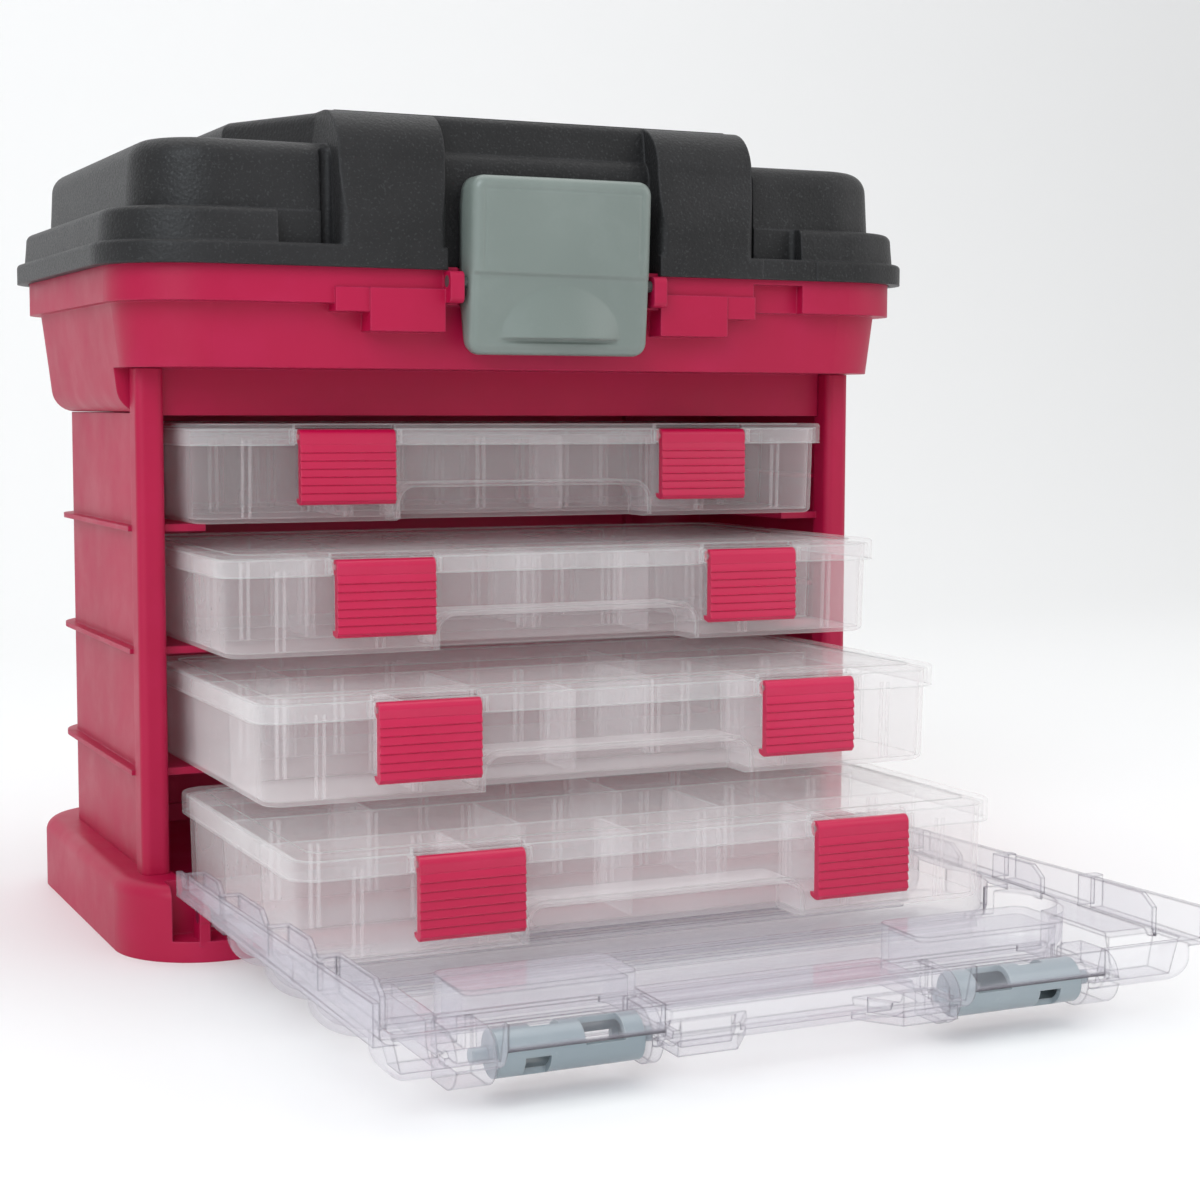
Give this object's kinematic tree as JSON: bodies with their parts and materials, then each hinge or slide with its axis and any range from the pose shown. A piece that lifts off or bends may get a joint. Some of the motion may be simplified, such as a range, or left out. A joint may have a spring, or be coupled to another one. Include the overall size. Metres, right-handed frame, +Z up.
{
  "type": "craft storage rack",
  "caption": "Portable craft storage rack: a housing with a lidded upper bin above slide-out clear utility boxes, and a clear door that folds down in front.",
  "frame": {"origin": "centre of the housing's footprint, on the surface it stands on", "axes": "+Z up; the front, where the boxes slide out, faces -Y; +X to the right seen from the front"},
  "size_m": [0.287, 0.3564, 0.266],
  "materials": {
    "housing_plastic": "satin moulded",
    "pin_plastic": "smooth moulded",
    "lid_plastic": "fine pebble grain",
    "latch_grey_plastic": "satin moulded",
    "door_clear_plastic": "clear glossy",
    "barrel_plastic": "satin moulded",
    "box_plastic": "frosted translucent",
    "box_latch_plastic": "satin moulded"
  },
  "bodies": {
    "housing": {"base_plinth": "housing_plastic", "left_wall": "housing_plastic", "right_wall": "housing_plastic", "back_wall": "housing_plastic", "upper_bin": "housing_plastic", "door_hinge_pins": "pin_plastic", "main_latch_pins": "pin_plastic", "lid_hinge_pins": "pin_plastic"},
    "lid": {"lid_shell": "lid_plastic", "handle_pins": "lid_plastic"},
    "handle": {"carry_handle": "lid_plastic"},
    "main_latch": {"main_latch": "latch_grey_plastic"},
    "door": {"front_door": "door_clear_plastic"},
    "barrel_left": {"door_barrel_left": "barrel_plastic"},
    "barrel_right": {"door_barrel_right": "barrel_plastic"},
    "box_1": {"box_1_base": "box_plastic", "box_1_lid": "box_plastic", "box_1_dividers": "box_plastic"},
    "box_1_latch_left": {"box_1_latch_left": "box_latch_plastic"},
    "box_1_latch_right": {"box_1_latch_right": "box_latch_plastic"},
    "box_2": {"box_2_base": "box_plastic", "box_2_lid": "box_plastic", "box_2_dividers": "box_plastic"},
    "box_2_latch_left": {"box_2_latch_left": "box_latch_plastic"},
    "box_2_latch_right": {"box_2_latch_right": "box_latch_plastic"},
    "box_3": {"box_3_base": "box_plastic", "box_3_lid": "box_plastic", "box_3_dividers": "box_plastic"},
    "box_3_latch_left": {"box_3_latch_left": "box_latch_plastic"},
    "box_3_latch_right": {"box_3_latch_right": "box_latch_plastic"},
    "box_4": {"box_4_base": "box_plastic", "box_4_lid": "box_plastic", "box_4_dividers": "box_plastic"},
    "box_4_latch_left": {"box_4_latch_left": "box_latch_plastic"},
    "box_4_latch_right": {"box_4_latch_right": "box_latch_plastic"}
  },
  "joints": [
    {"name": "lid_hinge", "type": "hinge", "parent": "housing", "child": "lid", "pos_m": [0, 0.091, 0.2112], "axis": [-1, 0, 0], "range_deg": [0, 100]},
    {"name": "handle_hinge", "type": "hinge", "parent": "lid", "child": "handle", "pos_m": [0, 0.021, 0.258], "axis": [-1, 0, 0], "range_deg": [0, 90]},
    {"name": "main_latch_hinge", "type": "hinge", "parent": "housing", "child": "main_latch", "pos_m": [0, -0.089, 0.2124], "axis": [1, 0, 0], "range_deg": [0, 22]},
    {"name": "door_hinge", "type": "hinge", "parent": "housing", "child": "door", "pos_m": [0, -0.0774, 0.014], "axis": [-1, 0, 0], "range_deg": [0, 2]},
    {"name": "barrel_left_turn", "type": "hinge", "parent": "door", "child": "barrel_left", "pos_m": [-0.068, -0.247, 0.0125], "axis": [1, 0, 0], "range_deg": [0, 60]},
    {"name": "barrel_right_turn", "type": "hinge", "parent": "door", "child": "barrel_right", "pos_m": [0.068, -0.247, 0.0125], "axis": [1, 0, 0], "range_deg": [0, 60]},
    {"name": "box_1_slide", "type": "slide", "parent": "housing", "child": "box_1", "axis": [0, 1, 0], "range_m": [-0.1, 0]},
    {"name": "box_1_latch_left_hinge", "type": "hinge", "parent": "box_1", "child": "box_1_latch_left", "pos_m": [-0.06415, -0.0669, 0.1633], "axis": [1, 0, 0], "range_deg": [-95, 0]},
    {"name": "box_1_latch_right_hinge", "type": "hinge", "parent": "box_1", "child": "box_1_latch_right", "pos_m": [0.06415, -0.0669, 0.1633], "axis": [1, 0, 0], "range_deg": [-95, 0]},
    {"name": "box_2_slide", "type": "slide", "parent": "housing", "child": "box_2", "axis": [0, 1, 0], "range_m": [-0.07, 0.036]},
    {"name": "box_2_latch_left_hinge", "type": "hinge", "parent": "box_2", "child": "box_2_latch_left", "pos_m": [-0.06415, -0.1029, 0.1241], "axis": [1, 0, 0], "range_deg": [-95, 0]},
    {"name": "box_2_latch_right_hinge", "type": "hinge", "parent": "box_2", "child": "box_2_latch_right", "pos_m": [0.06415, -0.1029, 0.1241], "axis": [1, 0, 0], "range_deg": [-95, 0]},
    {"name": "box_3_slide", "type": "slide", "parent": "housing", "child": "box_3", "axis": [0, 1, 0], "range_m": [-0.034, 0.074]},
    {"name": "box_3_latch_left_hinge", "type": "hinge", "parent": "box_3", "child": "box_3_latch_left", "pos_m": [-0.06415, -0.1409, 0.0849], "axis": [1, 0, 0], "range_deg": [-95, 0]},
    {"name": "box_3_latch_right_hinge", "type": "hinge", "parent": "box_3", "child": "box_3_latch_right", "pos_m": [0.06415, -0.1409, 0.0849], "axis": [1, 0, 0], "range_deg": [-95, 0]},
    {"name": "box_4_slide", "type": "slide", "parent": "housing", "child": "box_4", "axis": [0, 1, 0], "range_m": [-0.007, 0.107]},
    {"name": "box_4_latch_left_hinge", "type": "hinge", "parent": "box_4", "child": "box_4_latch_left", "pos_m": [-0.06415, -0.1739, 0.0457], "axis": [1, 0, 0], "range_deg": [-95, 0]},
    {"name": "box_4_latch_right_hinge", "type": "hinge", "parent": "box_4", "child": "box_4_latch_right", "pos_m": [0.06415, -0.1739, 0.0457], "axis": [1, 0, 0], "range_deg": [-95, 0]}
  ]
}
